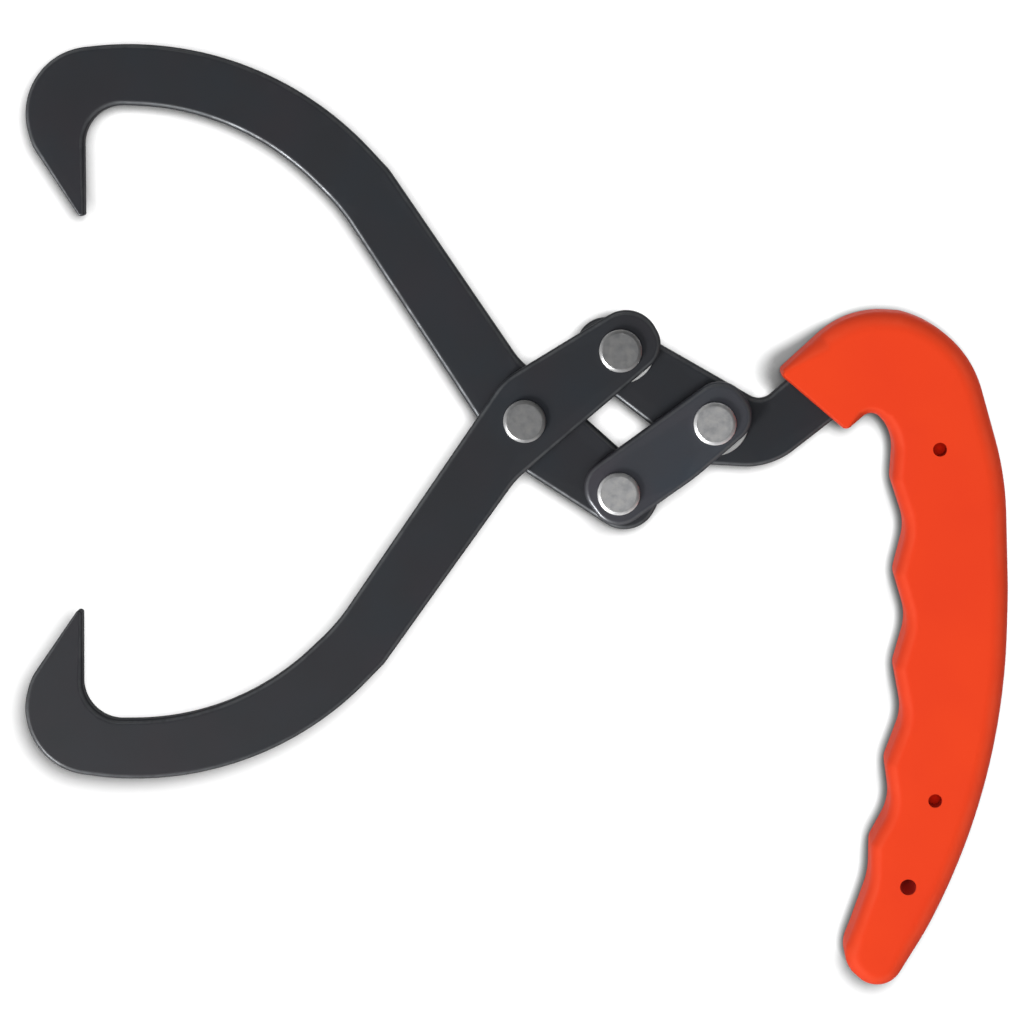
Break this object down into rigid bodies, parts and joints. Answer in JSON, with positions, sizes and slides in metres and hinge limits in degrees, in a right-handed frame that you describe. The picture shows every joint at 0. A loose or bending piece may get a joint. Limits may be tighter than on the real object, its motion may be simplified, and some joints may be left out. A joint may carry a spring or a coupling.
{
  "type": "log tongs",
  "caption": "Hand log tongs: hooked jaws crossed on a rivet, a four-bar linkage that closes them when the moulded finger grip is pulled.",
  "frame": {"origin": "middle of the footprint at rest, on the plane of the grip's back face", "axes": "+X along the linkage from the jaws to the handle, +Y towards the hook of the rear jaw, +Z from the back to the front of the plates, square to them and parallel to every rivet"},
  "size_m": [0.284, 0.27, 0.024],
  "materials": {
    "painted_steel": "satin charcoal powder coat, edges rolled and slightly worn",
    "grip_plastic": "moulded, soft satin orange-red",
    "rivet_steel": "dull zinc-grey steel with a brighter bevel",
    "washer_zinc": "bright zinc plate"
  },
  "bodies": {
    "handle": {"handle_bar": "painted_steel", "grip": "grip_plastic", "upper_rivet": "rivet_steel", "link_rivet": "rivet_steel", "upper_washer": "washer_zinc", "link_washer": "washer_zinc"},
    "front_jaw_body": {"front_jaw": "painted_steel", "jaw_rivet": "rivet_steel", "jaw_washer": "washer_zinc"},
    "rear_jaw_body": {"rear_jaw": "painted_steel"},
    "link_body": {"link": "painted_steel", "lower_rivet": "rivet_steel", "lower_washer": "washer_zinc"}
  },
  "joints": [
    {"name": "front_jaw_swing", "type": "hinge", "parent": "handle", "child": "front_jaw_body", "pos_m": [0.02993, 0.0493, 0.0185], "axis": [0, 0, 1], "range_deg": [-33, 48]},
    {"name": "link_swing", "type": "hinge", "parent": "handle", "child": "link_body", "pos_m": [0.05709, 0.02884, 0.0185], "axis": [0, 0, 1], "range_deg": [-33, 48]},
    {"name": "rear_jaw_swing", "type": "hinge", "parent": "front_jaw_body", "child": "rear_jaw_body", "pos_m": [0.00278, 0.02884, 0.011], "axis": [0, 0, 1], "range_deg": [-48, 33]}
  ],
  "couplings": [
    {"joint": "link_swing", "follows": "front_jaw_swing", "ratio": 1},
    {"joint": "rear_jaw_swing", "follows": "front_jaw_swing", "ratio": -1}
  ]
}
